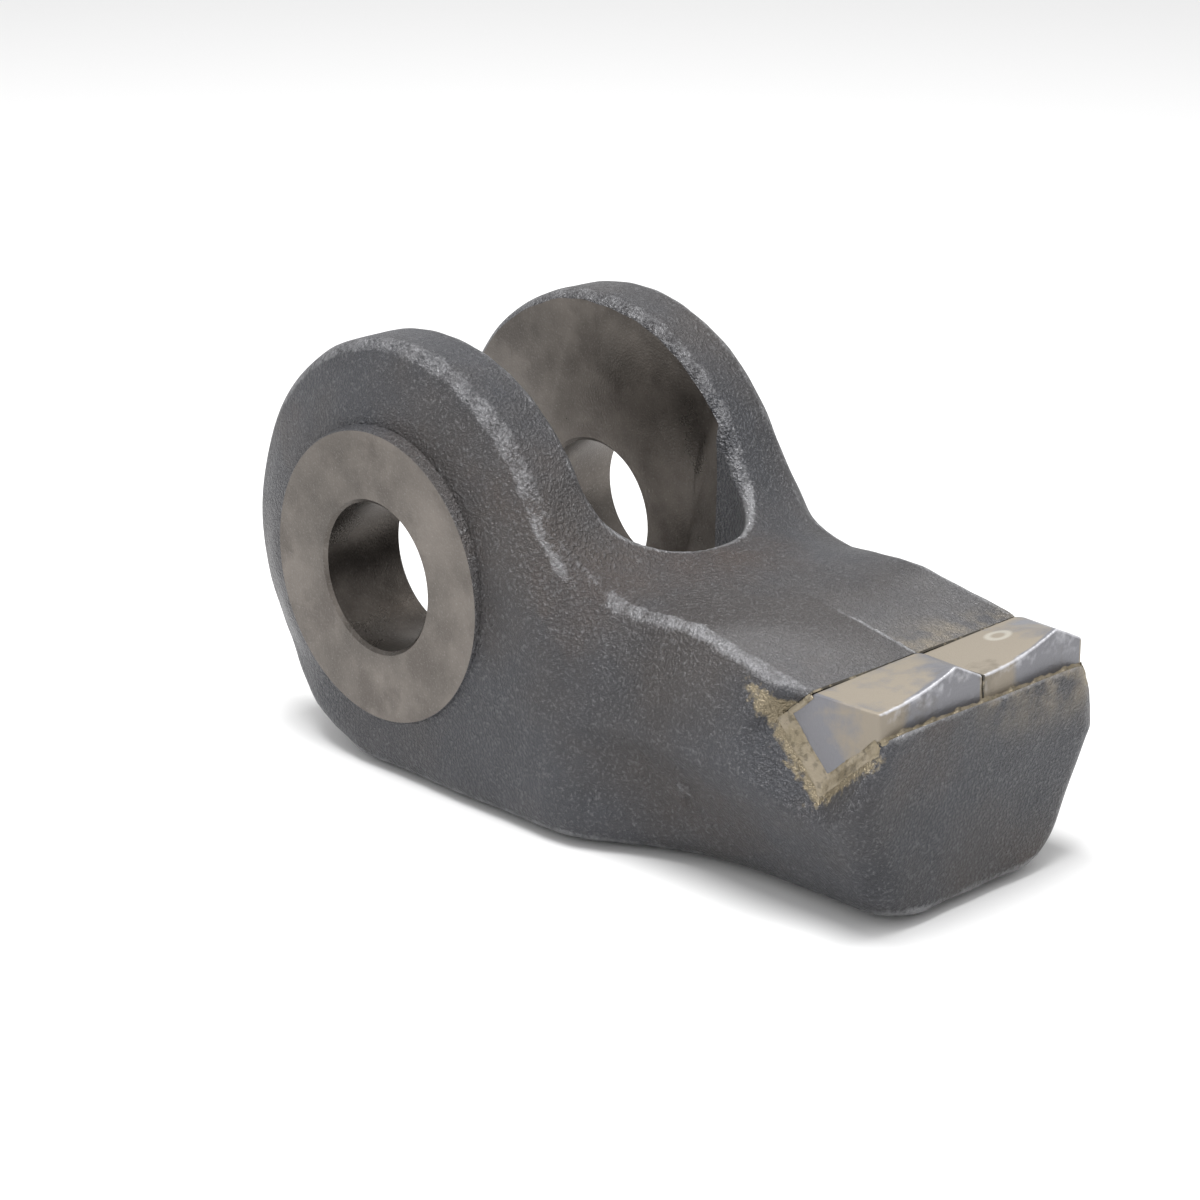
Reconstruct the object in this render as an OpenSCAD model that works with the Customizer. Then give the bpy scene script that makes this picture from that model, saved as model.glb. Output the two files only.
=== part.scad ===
// Fork-type swing hammer: one forging with a pivot clevis and a head that carries two brazed carbide tips.
// The origin is the middle of the pivot bore. +X runs to the striking face, +Y along the bore, +Z to the tips.

/* [Pivot clevis] */
// Diameter of the bore through both ears
bore_d = 30.5; // [24:0.5:36]
// Width over the two machined bosses
clevis_w = 80; // [70:1:96]
// Width of the gap between the ears
gap_w = 40; // [30:1:48]
// Diameter of each machined boss
boss_d = 60; // [50:1:70]
// Height of each boss above the forged face of its ear
boss_h = 0.8; // [0.3:0.1:1.5]
// Outer radius of the ears
ear_r = 44.5; // [37:0.5:54]
// How far the middle of the ears lies ahead of the bore
ear_ahead = 0.5; // [0:0.5:6]
// How far the middle of the ears lies above the bore
ear_rise = 2.5; // [0:0.5:6]
// Rounding of the outer edge of an ear
ear_outer_round = 10; // [4:0.5:12]
// Rounding of the inner edge of an ear
ear_inner_round = 3.5; // [1:0.5:5]
// How far the straight part of the gap reaches ahead of the bore
gap_reach = 36; // [30:1:40]
// Radius of the hollow where an ear runs down onto the neck
saddle_r = 15; // [8:1:20]

/* [Neck and head] */
// Distance from the bore to the lip of the striking face
reach = 125; // [120:1:150]
// Height of the saddle above the bore, at the front of the gap
saddle_z = 11.5; // [8:0.5:14]
// Drop of the top of the head from the saddle to the tips
top_fall = 7.5; // [5:0.5:8]
// Distance from the bore to where the slanting cheeks meet the head
neck_x = 78; // [70:1:84]
// Distance from the bore to where the ears turn into the slanting cheeks
cheek_x = 48; // [44:1:56]
// Width of the head at its parting line
head_w = 66; // [59:1:76]
// Width of the head at its top
head_top_w = 58; // [57.5:0.5:72]
// Width of the head at its underside
head_base_w = 47; // [40:1:60]
// Depth of the parting line below the bore
parting_z = 14; // [8:1:20]
// Rounding of the upright front corners of the head
head_corner_r = 5; // [3:0.5:9]
// Rake of the striking face, from the lip to the underside
face_rake = 2; // [0:0.5:4]

/* [Carbide tips] */
// Width of one tip
tip_w = 28; // [22:0.5:28.2]
// Length of the seat that a tip stands on
tip_seat = 16.4; // [12:0.2:18]
// Height of the wall that a tip backs against
tip_back = 14.4; // [12:0.2:16]
// Length of the rear shoulder of a tip, along its seat
tip_shoulder = 7.8; // [5:0.2:9]
// Height of the front face of a tip at its two ends
tip_front_h = 5.3; // [3:0.1:7]
// Rise of the peak of the cutting edge above its two ends
tip_peak_h = 3.8; // [1:0.1:5]
// Place of the peak across the tip, as a share of its width
tip_peak_at = 0.73; // [0.5:0.01:0.85]
// Tilt of the seat, rising to the front
tip_tilt = 42; // [36:1:46]
// Height of the steel lip in front of the tips, from the bore
lip_z = -0.9; // [-4:0.1:2]
// Length of the steel lip in front of a tip, along the seat
lip_len = 2.3; // [1.5:0.1:4]
// Run of the bevel behind each tip, along its outer end
bevel_run = 30; // [12:1:34]

/* [Brazing] */
// Thickness of the braze under, behind and between the tips
braze_t = 0.4; // [0.2:0.05:0.6]
// Leg of the braze fillet along the lip
fillet_leg = 1.6; // [0.8:0.1:2.2]
// Thickness of the braze fillet at each end
end_fillet_t = 1.2; // [0.3:0.1:1.2]
// Width of the braze fillet at each end
end_fillet_w = 1.8; // [1:0.1:2.5]

/* [Hidden] */
$fn = 96;

// Margin by which a cutter runs past what it cuts
over = 5;
// Sink of one solid of the forging into the next, so that they join
lap = 0.5;

bore_r = bore_d / 2;
boss_y = clevis_w / 2;
ear_y = boss_y - boss_h;
gap_y = gap_w / 2;
base_z = ear_rise - ear_r;
rear_x = ear_ahead - ear_r;

// The saddle starts where the rounded end of the gap stops
saddle_x = gap_reach + gap_y;

// Corner of the tip seat, where its floor meets its back wall
seat_x = reach - (tip_seat + lip_len) * cos(tip_tilt);
seat_z = lip_z - (tip_seat + lip_len) * sin(tip_tilt);

// How far a tip's front face runs along its seat and away from it
front_u = tip_front_h * sin(tip_tilt);
front_v = tip_front_h * cos(tip_tilt);

// Turns a point of the seat into a point of the part
function seat_point(u, v) = [
    seat_x + u * cos(tip_tilt) - v * sin(tip_tilt),
    seat_z + u * sin(tip_tilt) + v * cos(tip_tilt)
];
shoulder_point = seat_point(tip_shoulder, tip_back);
edge_point = seat_point(tip_seat + front_u, front_v);
toe_point = seat_point(tip_seat, 0);
heel_point = seat_point(0, tip_back);

// Top of the head, which runs straight from the saddle to the shoulder of the tips
top_x = shoulder_point[0];
top_z = saddle_z - top_fall;
top_slope = top_fall / (top_x - saddle_x);
function top_at(x) = saddle_z - (x - saddle_x) * top_slope;

// The two tips, with the braze joint between them
joint_y = braze_t / 2;
row_y = joint_y + tip_w;

// Hollow between an ear and the top of the neck. It runs a little inside the rim of the ear, so that the
// two surfaces cross instead of only touching.
hollow_reach = ear_r - lap + saddle_r;
hollow_z = saddle_z + saddle_r;
hollow_x = ear_ahead + sqrt(pow(hollow_reach, 2) - pow(hollow_z - ear_rise, 2));
hollow_touch_x = ear_ahead + (hollow_x - ear_ahead) * ear_r / hollow_reach;
hollow_touch_z = ear_rise + (hollow_z - ear_rise) * ear_r / hollow_reach;

// Extrudes an outline drawn in X and Z between two places along Y
module side_extrude(y_from, y_to) {
    translate([0, y_to, 0])
        rotate([90, 0, 0])
            linear_extrude(height = y_to - y_from)
                children();
}

// Extrudes an outline drawn in Y and Z between two places along X
module front_extrude(x_from, x_to) {
    translate([x_from, 0, 0])
        rotate([90, 0, 90])
            linear_extrude(height = x_to - x_from)
                children();
}

// Puts an outline drawn in the seat's own directions in its place in X and Z
module in_seat() {
    translate([seat_x, seat_z])
        rotate(tip_tilt)
            children();
}

// Section of one ear from its middle to its rim, with rounded edges
module ear_section() {
    square([ear_r - ear_outer_round, ear_y - gap_y]);
    translate([0, ear_inner_round])
        square([ear_r, ear_y - gap_y - ear_outer_round - ear_inner_round]);
    translate([ear_r - ear_outer_round, ear_y - gap_y - ear_outer_round])
        circle(ear_outer_round);
    translate([ear_r - ear_inner_round, ear_inner_round])
        circle(ear_inner_round);
}

// One ear on the +Y side
module ear_disc() {
    translate([ear_ahead, gap_y, ear_rise])
        rotate([-90, 0, 0])
            rotate_extrude()
                intersection() {
                    ear_section();
                    square([ear_r, ear_y]);
                }
}

// Outline of the foot that joins the ears to the neck, seen from the side
module foot_outline() {
    difference() {
        polygon([
            [ear_ahead, base_z],
            [neck_x - lap, base_z],
            [neck_x - lap, top_at(neck_x - lap)],
            [hollow_x, top_at(hollow_x)],
            [hollow_touch_x, hollow_touch_z],
            [ear_ahead, ear_rise]
        ]);
        translate([hollow_x, hollow_z])
            circle(saddle_r);
    }
}

// Section of the head across its width: widest at the parting line
function head_section() = [
    [-head_base_w / 2, base_z],
    [head_base_w / 2, base_z],
    [head_w / 2, -parting_z],
    [head_top_w / 2, saddle_z],
    [-head_top_w / 2, saddle_z],
    [-head_w / 2, -parting_z]
];

// The neck tapers from the full width of the ears to the section of the head
module neck() {
    intersection() {
        hull() {
            front_extrude(cheek_x - lap, cheek_x)
                polygon([
                    [-ear_y + lap, base_z],
                    [ear_y - lap, base_z],
                    [ear_y - lap, hollow_z],
                    [-ear_y + lap, hollow_z]
                ]);
            front_extrude(neck_x, neck_x + lap)
                polygon(head_section());
        }
        side_extrude(-ear_y, ear_y)
            union() {
                foot_outline();
                translate([neck_x - 2 * lap, base_z])
                    square([3 * lap, top_at(neck_x) - base_z]);
            }
    }
}

// Outline of the head seen from the side, before the tip seats are cut
module head_outline() {
    polygon([
        [neck_x - lap, base_z],
        [reach - face_rake, base_z],
        [reach, lip_z],
        [reach, top_at(reach)],
        [neck_x - lap, top_at(neck_x - lap)]
    ]);
}

// Outline of the head seen from above, with rounded front corners
module head_plan() {
    corner_y = head_w / 2 - head_corner_r;
    translate([neck_x - 2 * lap, -head_w / 2])
        square([reach - head_corner_r - neck_x + 2 * lap, head_w]);
    translate([neck_x, -corner_y])
        square([reach - neck_x, 2 * corner_y]);
    for (side = [-1, 1])
        translate([reach - head_corner_r, side * corner_y])
            circle(head_corner_r);
}

module head() {
    intersection() {
        front_extrude(neck_x - lap, reach + over)
            polygon(head_section());
        side_extrude(-head_w, head_w)
            head_outline();
        translate([0, 0, base_z - over])
            linear_extrude(height = saddle_z - base_z + 2 * over)
                head_plan();
    }
}

// The foot carries each ear down to the flat underside
module foot() {
    intersection() {
        side_extrude(-ear_y, ear_y)
            foot_outline();
        translate([0, 0, base_z - over])
            linear_extrude(height = ear_r * 3)
                polygon([
                    [ear_ahead, -ear_y + lap],
                    [cheek_x, -ear_y + lap],
                    [cheek_x, ear_y - lap],
                    [ear_ahead, ear_y - lap]
                ]);
    }
}

// Gap for the rotor lug, open at the rear, above and below, with a round front end
module gap_cutter() {
    translate([0, 0, base_z - over])
        linear_extrude(height = 3 * ear_r) {
            translate([rear_x - over, -gap_y])
                square([gap_reach - rear_x + over, gap_w]);
            translate([gap_reach, 0])
                circle(gap_y);
        }
}

// Everything above the floor and ahead of the back wall of the seats, with the braze thickness around
module seat_cutter() {
    side_extrude(-head_w, head_w)
        union() {
            in_seat()
                polygon([
                    [-braze_t, -braze_t],
                    [reach, -braze_t],
                    [reach, tip_back + braze_t],
                    [-braze_t, tip_back + braze_t]
                ]);
            translate([top_x, shoulder_point[1]])
                square([reach, reach]);
        }
}

// Height of the bevel plane behind one tip; y_end is the tip's outer end, where the bevel is deepest
bevel_high = top_at(top_x - bevel_run);
bevel_low = shoulder_point[1] + braze_t / cos(tip_tilt);
function bevel_at(x, y, y_end) =
    bevel_low
    + (top_x - x) * (bevel_high - bevel_low) / bevel_run
    + (y - y_end) * (top_z - bevel_low) / tip_w;

// Everything above the bevel plane behind one tip, between two places along Y
module bevel_cutter(y_end, y_from, y_to) {
    start_x = top_x - bevel_run - over;
    corners = [
        [start_x, y_from],
        [start_x, y_to],
        [reach, y_to],
        [reach, y_from]
    ];
    polyhedron(
        points = concat(
            [for (c = corners) [c[0], c[1], bevel_at(c[0], c[1], y_end)]],
            [for (c = corners) [c[0], c[1], reach]]
        ),
        faces = [
            [3, 2, 1, 0],
            [4, 5, 6, 7],
            [0, 1, 5, 4],
            [1, 2, 6, 5],
            [2, 3, 7, 6],
            [3, 0, 4, 7]
        ]
    );
}

module hammer_forging() {
    color([0.27, 0.26, 0.26])
        difference() {
            union() {
                for (side = [0, 1])
                    mirror([0, side, 0]) {
                        ear_disc();
                        translate([0, boss_y, 0])
                            rotate([90, 0, 0])
                                cylinder(d = boss_d, h = boss_h + lap);
                    }
                foot();
                neck();
                head();
            }
            gap_cutter();
            rotate([90, 0, 0])
                cylinder(d = bore_d, h = clevis_w + 2 * over, center = true);
            seat_cutter();
            bevel_cutter(-row_y, -head_w, 0);
            bevel_cutter(joint_y, 0, head_w);
        }
}

// Rise of the cutting edge at a share s of its run from the outer end to the peak
function edge_rise(s) = tip_peak_h * pow(s, 2);

// One tip, from y_from to y_from + tip_w. Its top runs from the straight rear edge to the curved cutting
// edge, and its last facet falls from the peak to the far end.
module tip(y_from) {
    n = 12;
    y_to = y_from + tip_w;
    rear = [for (i = [0:n]) [shoulder_point[0], y_from + tip_w * i / n, shoulder_point[1]]];
    edge = [
        for (i = [0:n])
            [edge_point[0], y_from + tip_w * tip_peak_at * i / n, edge_point[1] + edge_rise(i / n)]
    ];
    far = 2 * n + 2;
    toe = far + 1;
    corner = far + 3;
    heel = far + 5;
    polyhedron(
        points = concat(rear, edge, [
            [edge_point[0], y_to, edge_point[1]],
            [toe_point[0], y_from, toe_point[1]],
            [toe_point[0], y_to, toe_point[1]],
            [seat_x, y_from, seat_z],
            [seat_x, y_to, seat_z],
            [heel_point[0], y_from, heel_point[1]],
            [heel_point[0], y_to, heel_point[1]]
        ]),
        faces = concat(
            [for (i = [0:n - 1]) [i, i + 1, n + 2 + i]],
            [for (i = [0:n - 1]) [i, n + 2 + i, n + 1 + i]],
            [
                [n, far, 2 * n + 1],
                concat([toe], [for (i = [0:n]) n + 1 + i], [far, toe + 1]),
                [corner, toe, toe + 1, corner + 1],
                [corner + 1, heel + 1, heel, corner],
                concat([heel, heel + 1], [for (i = [n:-1:0]) i]),
                [corner, heel, 0, n + 1, toe],
                [corner + 1, toe + 1, far, n, heel + 1]
            ]
        )
    );
}

module left_carbide_tip() {
    color([0.56, 0.56, 0.58])
        tip(-row_y);
}

module right_carbide_tip() {
    color([0.56, 0.56, 0.58])
        tip(joint_y);
}

// Braze under, behind and over the shoulder of one tip
module braze_bed(y_from) {
    color([0.66, 0.6, 0.42])
        side_extrude(y_from, y_from + tip_w)
            in_seat()
                polygon([
                    [-braze_t, -braze_t],
                    [tip_seat, -braze_t],
                    [tip_seat, 0],
                    [0, 0],
                    [0, tip_back],
                    [tip_shoulder, tip_back],
                    [tip_shoulder, tip_back + braze_t],
                    [-braze_t, tip_back + braze_t]
                ]);
}

module left_braze_bed() {
    braze_bed(-row_y);
}

module right_braze_bed() {
    braze_bed(joint_y);
}

// Braze between the two tips
module centre_braze_joint() {
    color([0.6, 0.6, 0.36])
        side_extrude(-joint_y, joint_y)
            in_seat()
                polygon([
                    [-braze_t, -braze_t],
                    [tip_seat, -braze_t],
                    [tip_seat, 0],
                    [tip_seat + front_u, front_v],
                    [tip_shoulder, tip_back],
                    [tip_shoulder, tip_back + braze_t],
                    [-braze_t, tip_back + braze_t]
                ]);
}

// Bead of braze in the corner between the front of both tips and the lip
module front_braze_fillet() {
    color([0.74, 0.68, 0.46])
        side_extrude(-row_y, row_y)
            in_seat()
                polygon([
                    [tip_seat, -braze_t],
                    [tip_seat + fillet_leg, -braze_t],
                    [tip_seat + fillet_leg * sin(tip_tilt), fillet_leg * cos(tip_tilt)],
                    [tip_seat, 0]
                ]);
}

// Bead of braze around the end of a tip, on the floor and the back wall of its seat
module end_braze_fillet(y_from) {
    inner = end_fillet_w - braze_t;
    color([0.7, 0.62, 0.42])
        side_extrude(y_from, y_from + end_fillet_t)
            in_seat()
                polygon([
                    [-braze_t, -braze_t],
                    [tip_seat, -braze_t],
                    [tip_seat, inner],
                    [inner, inner],
                    [inner, tip_back],
                    [-braze_t, tip_back]
                ]);
}

module left_end_braze_fillet() {
    end_braze_fillet(-row_y - end_fillet_t);
}

module right_end_braze_fillet() {
    end_braze_fillet(row_y);
}

hammer_forging();
left_carbide_tip();
right_carbide_tip();
left_braze_bed();
right_braze_bed();
centre_braze_joint();
front_braze_fillet();
left_end_braze_fillet();
right_end_braze_fillet();
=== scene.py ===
"""Fork-type swing hammer: a forged clevis and head, with two carbide tips brazed into a seat."""

import math

import bmesh
import bpy
import numpy as np
from bpy.props import FloatProperty, FloatVectorProperty, PointerProperty
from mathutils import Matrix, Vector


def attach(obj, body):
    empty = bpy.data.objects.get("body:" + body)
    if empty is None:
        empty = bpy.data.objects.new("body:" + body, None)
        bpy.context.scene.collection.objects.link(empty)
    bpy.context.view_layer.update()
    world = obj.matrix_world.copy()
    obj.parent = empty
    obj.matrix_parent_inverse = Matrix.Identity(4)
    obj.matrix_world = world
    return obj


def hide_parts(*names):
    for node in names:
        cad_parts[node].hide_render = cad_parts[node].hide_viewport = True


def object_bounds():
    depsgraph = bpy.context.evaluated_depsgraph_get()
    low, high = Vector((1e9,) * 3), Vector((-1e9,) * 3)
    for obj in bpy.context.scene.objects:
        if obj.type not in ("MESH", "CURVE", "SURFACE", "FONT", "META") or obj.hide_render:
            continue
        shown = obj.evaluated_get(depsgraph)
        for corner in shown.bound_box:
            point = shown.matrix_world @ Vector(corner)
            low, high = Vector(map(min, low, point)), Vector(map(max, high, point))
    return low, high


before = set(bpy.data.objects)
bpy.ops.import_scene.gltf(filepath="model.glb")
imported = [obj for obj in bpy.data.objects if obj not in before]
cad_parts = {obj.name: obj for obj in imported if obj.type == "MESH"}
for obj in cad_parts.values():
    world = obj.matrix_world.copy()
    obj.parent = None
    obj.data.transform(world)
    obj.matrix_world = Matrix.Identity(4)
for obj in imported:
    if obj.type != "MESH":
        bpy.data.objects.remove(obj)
CAD_BOX = [list(corner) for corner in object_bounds()]

bl_info = {
    "name": "Swing Hammer",
    "version": (1, 0, 0),
    "blender": (4, 5, 0),
    "location": "View3D > Sidebar > Swing Hammer",
    "description": "Builds a forged swing hammer with two brazed carbide tips",
    "category": "Add Mesh",
}

MM = 0.001


# ---------------------------------------------------------------- sizes and colours


def size_setting(name, description, default):
    """A setting of a size, in millimetres unless its description says otherwise."""
    return FloatProperty(name=name, description=description, default=default)


def colour_setting(name, description, default):
    """A setting of a colour."""
    return FloatVectorProperty(name=name, description=description, subtype="COLOR", default=default)


class ClevisSizes(bpy.types.PropertyGroup):
    """Sizes of the fork that the pivot pin passes through, in millimetres"""

    bore_d: size_setting("Bore", "Diameter of the bore through both ears", 30.5)
    width: size_setting("Width", "Width over the two machined bosses", 80.0)
    gap: size_setting("Gap", "Width of the machined gap between the ears", 40.0)
    gap_reach: size_setting("Gap reach", "Where the machined gap faces end, ahead of the bore", 36.0)
    boss_d: size_setting("Boss", "Diameter of each machined boss", 60.0)
    ear_half: size_setting("Ear half width", "Half width of the ears at the parting line", 39.8)
    ear_r: size_setting("Ear radius", "Outer radius of the ears", 44.5)
    ear_ahead: size_setting("Ear ahead", "Middle of the ears ahead of the bore", 0.5)
    ear_rise: size_setting("Ear rise", "Middle of the ears above the bore", 2.5)
    saddle_r: size_setting("Saddle radius", "Hollow between an ear and the neck", 13.0)


class HeadSizes(bpy.types.PropertyGroup):
    """Sizes of the neck and head, in millimetres"""

    reach: size_setting("Reach", "From the bore to the lip of the striking face", 125.0)
    parting_z: size_setting("Parting line", "Depth of the parting line below the bore", 15.0)
    half_width: size_setting("Half width", "Half width of the head at its parting line", 35.1)
    corner_r: size_setting("Corner", "Rounding of the upright front corners", 7.0)
    rake: size_setting("Rake", "Rake of the striking face from lip to underside", 2.0)
    lip_z: size_setting("Lip height", "Height of the lip in front of the tips", -0.9)
    lip_len: size_setting("Lip length", "Length of the lip along the seat", 2.3)


class TipSizes(bpy.types.PropertyGroup):
    """Sizes of one carbide tip and its braze, in millimetres"""

    width: size_setting("Width", "Width of one tip", 28.0)
    seat: size_setting("Seat", "Length of the seat that a tip stands on", 16.4)
    back: size_setting("Back", "Height of the wall that a tip backs against", 14.4)
    shoulder: size_setting("Shoulder", "Length of the rear shoulder along the seat", 7.8)
    front: size_setting("Front", "Height of the front face at its two ends", 5.3)
    peak: size_setting("Peak", "Rise of the peak of the cutting edge", 3.8)
    peak_at: size_setting("Peak place", "Share of the width at which the peak is", 0.73)
    tilt: size_setting("Tilt", "Tilt of the seat in degrees", 42.0)
    braze: size_setting("Braze", "Thickness of the braze around a tip", 0.4)


class FinishColours(bpy.types.PropertyGroup):
    """Colours of the finishes"""

    scale: colour_setting("Forging scale", "Dark scale on the forging", (0.053, 0.054, 0.060))
    warm: colour_setting("Warm scale", "Browner patches of the scale", (0.074, 0.064, 0.058))
    rust: colour_setting("Rust tint", "Brown tint on the scale", (0.085, 0.062, 0.050))
    sparkle: colour_setting("Scale specks", "Fine bright specks in the scale", (0.2, 0.2, 0.205))
    bare: colour_setting("Bare steel", "Machined steel", (0.155, 0.138, 0.123))
    stain: colour_setting("Oil stain", "Stain on the machined steel", (0.085, 0.074, 0.066))
    bright: colour_setting("Cut specks", "Fine bright specks of the machined steel", (0.3, 0.29, 0.28))
    # Ground steel on the relief behind the tips, and on the ridges wear together with a painted highlight.
    rubbed_and_sheen: colour_setting("Rubbed steel", "Ridges and ground faces", (0.31, 0.31, 0.32))
    carbide: colour_setting("Carbide", "Pressed and sintered carbide", (0.165, 0.165, 0.18))
    # Painted highlight along the carbide's cutting edge.
    crest_highlight: colour_setting("Cutting edge", "Bright line of the carbide's cutting edge", (0.55, 0.55, 0.58))
    ring: colour_setting("Ring mark", "Pale ring left on the right tip", (0.42, 0.4, 0.35))
    braze: colour_setting("Braze", "Silver braze", (0.255, 0.216, 0.15))
    flux: colour_setting("Flux", "Tan film that the flux leaves", (0.285, 0.243, 0.182))
    flux_dark: colour_setting("Burnt flux", "Dark brown-green flux", (0.10, 0.085, 0.06))
    floor: colour_setting("Floor", "Pale studio floor", (0.86, 0.86, 0.86))


GROUPS = {"clevis": ClevisSizes, "head": HeadSizes, "tips": TipSizes, "finish": FinishColours}


def sizes(name):
    """The settings of one group, from the scene."""
    return getattr(bpy.context.scene, "hammer_" + name)


def row_half():
    """Half width of the row of two tips, with half of the braze between them."""
    tips = sizes("tips")
    return tips.width + tips.braze / 2


# ---------------------------------------------------------------- mesh helpers

AXIS_R = 0.01  # radius at which a turned profile is closed by a flat cap, in millimetres


def mesh_piece(name, points, faces):
    """A mesh object from points in millimetres and faces given as lists of point numbers."""
    mesh = bpy.data.meshes.new(name)
    mesh.from_pydata(np.asarray(points) * MM, [], faces)
    mesh.update()
    piece = bpy.data.objects.new(name, mesh)
    bpy.context.collection.objects.link(piece)
    return piece


def grid_faces(rows, columns):
    """Four-sided faces of a grid of points numbered row by row, whose columns run round and close."""
    row, column = np.meshgrid(np.arange(rows - 1), np.arange(columns), indexing="ij")
    here, ahead = row * columns + column, row * columns + (column + 1) % columns
    return np.stack([here, ahead, ahead + columns, here + columns], -1).reshape(-1, 4)


def carried(name, sections):
    """A solid from sections carried along a path: sections is an array [station, point, xyz], each section
    a closed loop. The first and last sections are closed by flat caps."""
    stations, count, _ = sections.shape
    first = list(range(count))[::-1]
    last = [(stations - 1) * count + i for i in range(count)]
    piece = mesh_piece(name, sections.reshape(-1, 3), grid_faces(stations, count).tolist() + [first, last])
    facing_out(piece)
    return piece


def facing_out(piece):
    """Merges doubles and turns every face outwards."""
    work = bmesh.new()
    work.from_mesh(piece.data)
    bmesh.ops.remove_doubles(work, verts=work.verts, dist=1e-7)
    bmesh.ops.recalc_face_normals(work, faces=work.faces)
    work.to_mesh(piece.data)
    work.free()


def turned(name, profile, steps=160):
    """A solid of revolution about the Y axis: profile is rows of (radius, y), and each point goes round at
    x = radius * cos(a), z = radius * sin(a)."""
    profile = np.asarray(profile, float)
    angle = np.linspace(0, 2 * np.pi, steps, endpoint=False)
    radius = profile[:, :1]
    along = np.broadcast_to(profile[:, 1:], (len(profile), steps))
    return carried(name, np.stack([radius * np.cos(angle), along, radius * np.sin(angle)], -1))


def box_piece(name, low, high):
    """A box between two corners, as a rectangle carried along X."""
    ring = np.array([(low[1], low[2]), (high[1], low[2]), (high[1], high[2]), (low[1], high[2])])
    return carried(name, np.stack([np.column_stack([np.full(4, x), ring]) for x in (low[0], high[0])]))


def combine(piece, tool, operation):
    """Applies a boolean of the tool to the piece, then removes the tool."""
    modifier = piece.modifiers.new("cut", "BOOLEAN")
    modifier.operation = operation
    modifier.solver = "MANIFOLD"
    modifier.object = tool
    graph = bpy.context.evaluated_depsgraph_get()
    mesh = bpy.data.meshes.new_from_object(piece.evaluated_get(graph))
    if not mesh.polygons:
        raise RuntimeError(f"the boolean with {tool.name} left nothing of {piece.name}")
    old = piece.data
    piece.modifiers.clear()
    piece.data = mesh
    bpy.data.meshes.remove(old)
    bpy.data.objects.remove(tool)


def skin(name, field, low, high, pitch):
    """The surface where a field is zero. The field is worked out on a grid of points. Each cell that the
    surface crosses gets one vertex, at the mean of its edge crossings, which then moves along the field's
    slope onto the surface. Each grid edge that the surface crosses gets one four-sided face."""
    counts = [int(math.ceil((end - start) / pitch)) + 1 for start, end in zip(low, high)]
    axes = [start + pitch * np.arange(count) for start, count in zip(low, counts)]
    value = field(*np.meshgrid(*axes, indexing="ij"))
    cells = tuple(count - 1 for count in counts)
    total = np.zeros((int(np.prod(cells)), 3))
    hits = np.zeros(len(total))
    faces = []
    for axis in range(3):
        near, far = [slice(None)] * 3, [slice(None)] * 3
        near[axis], far[axis] = slice(0, -1), slice(1, None)
        a, b = value[tuple(near)], value[tuple(far)]
        edge = np.argwhere((a < 0) != (b < 0))
        a, b = a[tuple(edge.T)], b[tuple(edge.T)]
        point = edge.astype(float)
        point[:, axis] += a / (a - b)
        around = []
        for du, dv in ((0, 0), (1, 0), (1, 1), (0, 1)):
            cell = edge.copy()
            cell[:, (axis + 1) % 3] -= du
            cell[:, (axis + 2) % 3] -= dv
            number = np.ravel_multi_index(cell.T, cells)
            for k in range(3):
                total[:, k] += np.bincount(number, point[:, k], len(total))
            hits += np.bincount(number, minlength=len(total))
            around.append(number)
        quads = np.stack(around, -1)
        faces.append(np.where((a < 0)[:, None], quads, quads[:, ::-1]))
    used = np.flatnonzero(hits)
    place = np.zeros(len(total), int)
    place[used] = np.arange(len(used))
    points = np.asarray(low) + pitch * total[used] / hits[used, None]
    points = settled(field, points, pitch)
    return mesh_piece(name, points, place[np.concatenate(faces)].tolist())


def slope(field, points, step=0.05):
    """The field's gradient at points, from differences over a short step either way."""
    shift = np.eye(3) * step
    return np.stack([(field(*(points + d).T) - field(*(points - d).T)) / (2 * step) for d in shift], -1)


def settled(field, points, pitch):
    """Points moved along the slope onto the surface of the field, at most half a cell each time."""
    flattest = 0.05
    for _ in range(3):
        grad = slope(field, points)
        steepness = np.maximum((grad**2).sum(1, keepdims=True), flattest)
        move = field(*points.T)[:, None] * grad / steepness
        far = np.linalg.norm(move, axis=1, keepdims=True)
        points = points - move * np.minimum(1, 0.5 * pitch / np.maximum(far, 1e-9))
    return points


def shade(piece, angle=38):
    """Smooth shading that stays sharp across edges steeper than the angle, in degrees."""
    mesh = piece.data
    mesh.polygons.foreach_set("use_smooth", np.ones(len(mesh.polygons), bool))
    mesh.set_sharp_from_angle(angle=math.radians(angle))


def vertex_places(mesh):
    """The mesh's points, in millimetres."""
    points = np.empty(len(mesh.vertices) * 3)
    mesh.vertices.foreach_get("co", points)
    return points.reshape(-1, 3) / MM


def write_marks(mesh, marks):
    """Stores marks as values at the mesh's points, for the finishes to read."""
    for name, value in marks.items():
        mesh.attributes.new(name, "FLOAT", "POINT").data.foreach_set("value", value.astype(np.float32))


# ---------------------------------------------------------------- ways to join fields


def union(a, b, r):
    """Union of two fields with a hollow of radius r where they meet."""
    return np.maximum(np.minimum(a, b), r) - np.hypot(np.maximum(r - a, 0), np.maximum(r - b, 0))


def overlap(a, b, r):
    """Overlap of two fields with a rounding of radius r where they meet."""
    return np.minimum(np.maximum(a, b), -r) + np.hypot(np.maximum(r + a, 0), np.maximum(r + b, 0))


def blunt(a, b, reach):
    """Overlap of two fields that meet at a shallow angle, softened where they differ by less than reach."""
    near = np.maximum(reach - np.abs(a - b), 0) / reach
    return np.maximum(a, b) + near * near * reach / 4


def ease(a, b, x):
    """Runs smoothly from 0 at a to 1 at b."""
    t = np.clip((x - a) / (b - a), 0, 1)
    return t * t * (3 - 2 * t)


def between(a, b, t):
    """Runs straight from a at t = 0 to b at t = 1."""
    return a + (b - a) * t


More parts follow.
